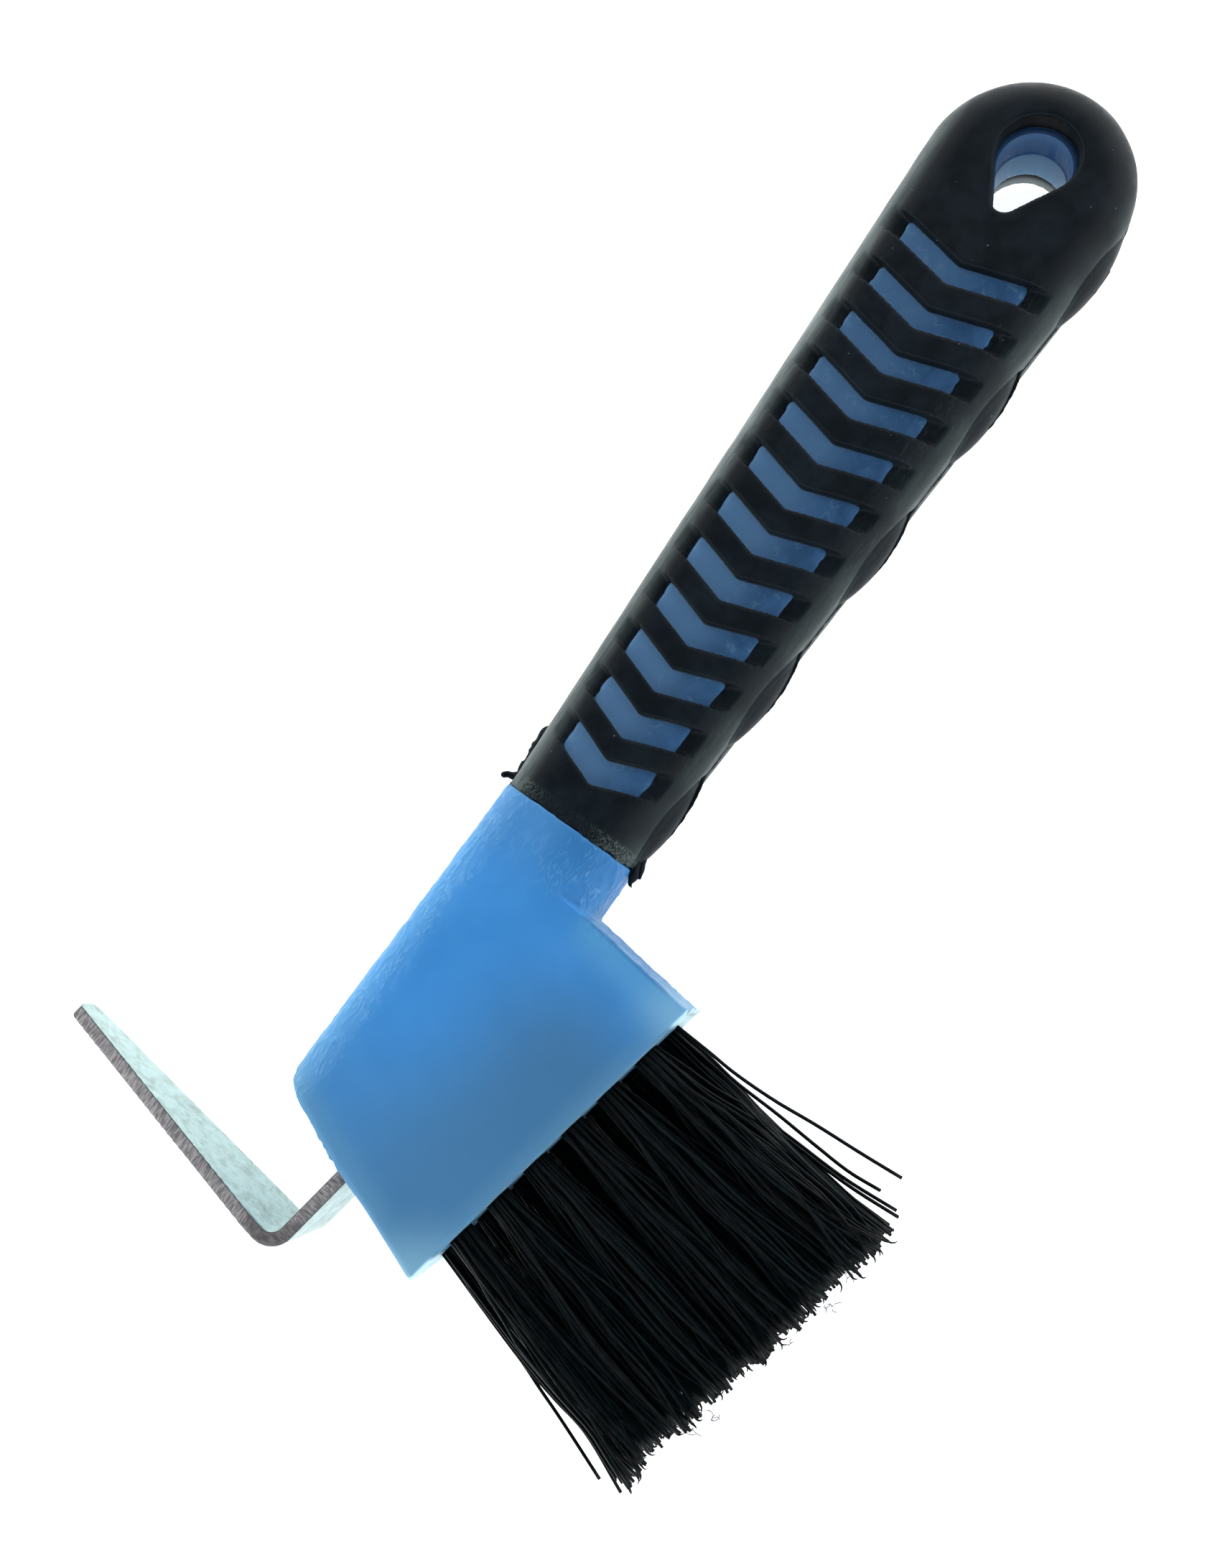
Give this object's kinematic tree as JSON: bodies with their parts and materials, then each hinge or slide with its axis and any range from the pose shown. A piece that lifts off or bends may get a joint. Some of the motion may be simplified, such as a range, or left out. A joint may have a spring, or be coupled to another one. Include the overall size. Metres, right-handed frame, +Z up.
{
  "type": "hoof pick",
  "caption": "Hoof pick: bent flat steel hook and stiff brush on a hard plastic head, with a soft ribbed sleeve over the handle and a teardrop hanging hole.",
  "frame": {"origin": "middle of the whole object's footprint, on the surface that the head's flat back face lies on", "axes": "+X along the handle from the head to the rounded end, +Y to the side that the hook's blade points to (bristles point to -Y), +Z up, out of the front face"},
  "size_m": [0.2177, 0.1219, 0.0202],
  "materials": {
    "hard_plastic": "milky translucent polypropylene, satin, sky blue",
    "soft_sleeve": "black thermoplastic rubber, fine satin",
    "hook_steel": "zinc-plated flat strip with bare sheared edges",
    "anchor_wire": "flat galvanised wire",
    "bristle": "stiff black polypropylene filaments, satin"
  },
  "bodies": {
    "root": {"handle_body": "hard_plastic", "grip_sleeve": "soft_sleeve", "hook_strip": "hook_steel", "tuft_anchors": "anchor_wire", "bristle_tuft_01": "bristle", "bristle_tuft_02": "bristle", "bristle_tuft_03": "bristle", "bristle_tuft_04": "bristle", "bristle_tuft_05": "bristle", "bristle_tuft_06": "bristle", "bristle_tuft_07": "bristle", "bristle_tuft_08": "bristle", "bristle_tuft_09": "bristle", "bristle_tuft_10": "bristle", "bristle_tuft_11": "bristle", "bristle_tuft_12": "bristle", "bristle_tuft_13": "bristle", "bristle_tuft_14": "bristle", "bristle_tuft_15": "bristle", "bristle_tuft_16": "bristle", "bristle_tuft_17": "bristle", "bristle_tuft_18": "bristle", "bristle_tuft_19": "bristle"}
  },
  "joints": []
}
